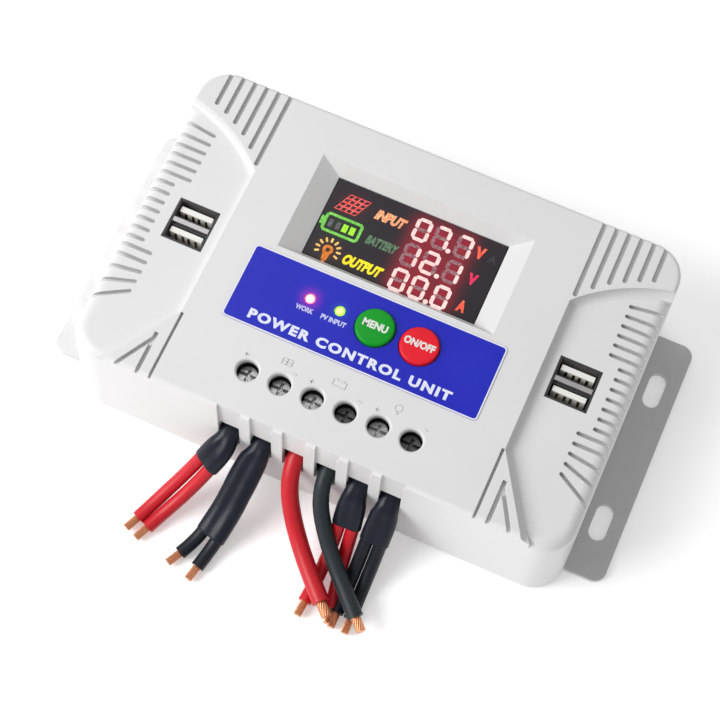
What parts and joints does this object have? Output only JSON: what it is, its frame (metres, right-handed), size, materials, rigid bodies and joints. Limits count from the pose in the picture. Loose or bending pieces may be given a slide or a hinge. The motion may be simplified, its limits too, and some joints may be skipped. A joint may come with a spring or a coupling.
{
  "type": "solar charge controller",
  "caption": "Wall-mounted solar charge controller: off-white cover with display, push buttons, USB sockets and front screw terminals with short red and black leads.",
  "frame": {"origin": "middle of the mounting plate's back, the face it rests on", "axes": "+X across the face along the label, +Y towards the display, away from the leads, +Z out of the face"},
  "size_m": [0.1962, 0.1522, 0.047],
  "materials": {
    "plate_metal": "bead-blasted sheet",
    "cover_plastic": "fine-grained off-white moulding",
    "label_film": "printed blue film",
    "button_green": "moulded cap",
    "button_red": "moulded cap",
    "black_plastic": "moulded",
    "white_plastic": "moulded",
    "lamp_red": "lit lamp",
    "lamp_green": "lit lamp",
    "smoked_film": "smoked acrylic",
    "circuit_board": "solder mask",
    "brass": "turned",
    "steel": "zinc plated",
    "nickel": "nickel plated",
    "copper": "stranded copper",
    "pad_rubber": "silicone pad",
    "capacitor_sleeve": "shrunk sleeve",
    "ferrite": "coated ferrite",
    "insulation_red": "soft wire insulation",
    "insulation_black": "soft wire insulation",
    "insulation_grey": "soft wire insulation",
    "shrink_sleeve": "shrunk tubing"
  },
  "bodies": {
    "controller": {"mounting_plate": "plate_metal", "top_cover": "cover_plastic", "face_label": "label_film", "tact_switches": "black_plastic", "work_lamp": "lamp_red", "pv_lamp": "lamp_green", "display_filter": "smoked_film", "display_module": "black_plastic", "display_board": "circuit_board", "main_board": "circuit_board", "board_standoffs": "brass", "board_screws": "steel", "cover_screws": "steel", "thermal_pad": "pad_rubber", "power_transistors": "black_plastic", "clamp_bar": "steel", "filter_capacitors": "capacitor_sleeve", "choke_coil": "ferrite", "control_chips": "black_plastic", "board_connector": "black_plastic", "left_usb_shell": "nickel", "right_usb_shell": "nickel", "usb_liners": "black_plastic", "usb_tongues": "white_plastic", "usb_boards": "circuit_board", "terminal_block": "black_plastic", "contact_bars": "nickel", "lead_tips": "copper", "wire_pins": "nickel", "panel_lead_red_a": "insulation_red", "panel_lead_red_b": "insulation_red", "panel_lead_black_a": "insulation_black", "panel_lead_black_b": "insulation_black", "battery_lead_red": "insulation_red", "battery_lead_grey": "insulation_grey", "load_lead_red_a": "insulation_red", "load_lead_red_b": "insulation_red", "load_lead_black_a": "insulation_black", "load_lead_black_b": "insulation_black", "panel_sleeve_red": "shrink_sleeve", "panel_sleeve_black": "shrink_sleeve", "load_sleeve_red": "shrink_sleeve", "load_sleeve_black": "shrink_sleeve"},
    "menu_button": {"menu_button": "button_green", "menu_plunger": "black_plastic"},
    "power_button": {"power_button": "button_red", "power_plunger": "black_plastic"},
    "screw_1": {"terminal_screw_1": "steel"},
    "cage_1": {"terminal_cage_1": "nickel"},
    "screw_2": {"terminal_screw_2": "steel"},
    "cage_2": {"terminal_cage_2": "nickel"},
    "screw_3": {"terminal_screw_3": "steel"},
    "cage_3": {"terminal_cage_3": "nickel"},
    "screw_4": {"terminal_screw_4": "steel"},
    "cage_4": {"terminal_cage_4": "nickel"},
    "screw_5": {"terminal_screw_5": "steel"},
    "cage_5": {"terminal_cage_5": "nickel"},
    "screw_6": {"terminal_screw_6": "steel"},
    "cage_6": {"terminal_cage_6": "nickel"}
  },
  "joints": [
    {"name": "menu_press", "type": "slide", "parent": "controller", "child": "menu_button", "axis": [0, 0, -1], "range_m": [0, 0.0008], "stiffness_N_per_m": 1500, "springref_m": -0.0003},
    {"name": "power_press", "type": "slide", "parent": "controller", "child": "power_button", "axis": [0, 0, -1], "range_m": [0, 0.0008], "stiffness_N_per_m": 1500, "springref_m": -0.0003},
    {"name": "screw_1_turn", "type": "hinge", "parent": "controller", "child": "screw_1", "pos_m": [-0.0273, -0.0393, 0.0384], "axis": [0, 0, 1], "range_deg": [0, 1543]},
    {"name": "cage_1_lift", "type": "slide", "parent": "controller", "child": "cage_1", "axis": [0, 0, -1], "range_m": [0, 0.003]},
    {"name": "screw_2_turn", "type": "hinge", "parent": "controller", "child": "screw_2", "pos_m": [-0.01638, -0.0393, 0.0384], "axis": [0, 0, 1], "range_deg": [0, 1543]},
    {"name": "cage_2_lift", "type": "slide", "parent": "controller", "child": "cage_2", "axis": [0, 0, -1], "range_m": [0, 0.003]},
    {"name": "screw_3_turn", "type": "hinge", "parent": "controller", "child": "screw_3", "pos_m": [-0.00546, -0.0393, 0.0384], "axis": [0, 0, 1], "range_deg": [0, 1543]},
    {"name": "cage_3_lift", "type": "slide", "parent": "controller", "child": "cage_3", "axis": [0, 0, -1], "range_m": [0, 0.003]},
    {"name": "screw_4_turn", "type": "hinge", "parent": "controller", "child": "screw_4", "pos_m": [0.00546, -0.0393, 0.0384], "axis": [0, 0, 1], "range_deg": [0, 1543]},
    {"name": "cage_4_lift", "type": "slide", "parent": "controller", "child": "cage_4", "axis": [0, 0, -1], "range_m": [0, 0.003]},
    {"name": "screw_5_turn", "type": "hinge", "parent": "controller", "child": "screw_5", "pos_m": [0.01638, -0.0393, 0.0384], "axis": [0, 0, 1], "range_deg": [0, 1543]},
    {"name": "cage_5_lift", "type": "slide", "parent": "controller", "child": "cage_5", "axis": [0, 0, -1], "range_m": [0, 0.003]},
    {"name": "screw_6_turn", "type": "hinge", "parent": "controller", "child": "screw_6", "pos_m": [0.0273, -0.0393, 0.0384], "axis": [0, 0, 1], "range_deg": [0, 1543]},
    {"name": "cage_6_lift", "type": "slide", "parent": "controller", "child": "cage_6", "axis": [0, 0, -1], "range_m": [0, 0.003]}
  ],
  "couplings": [
    {"joint": "screw_1_turn", "follows": "cage_1_lift", "rad_per_m": 8976},
    {"joint": "screw_2_turn", "follows": "cage_2_lift", "rad_per_m": 8976},
    {"joint": "screw_3_turn", "follows": "cage_3_lift", "rad_per_m": 8976},
    {"joint": "screw_4_turn", "follows": "cage_4_lift", "rad_per_m": 8976},
    {"joint": "screw_5_turn", "follows": "cage_5_lift", "rad_per_m": 8976},
    {"joint": "screw_6_turn", "follows": "cage_6_lift", "rad_per_m": 8976}
  ]
}
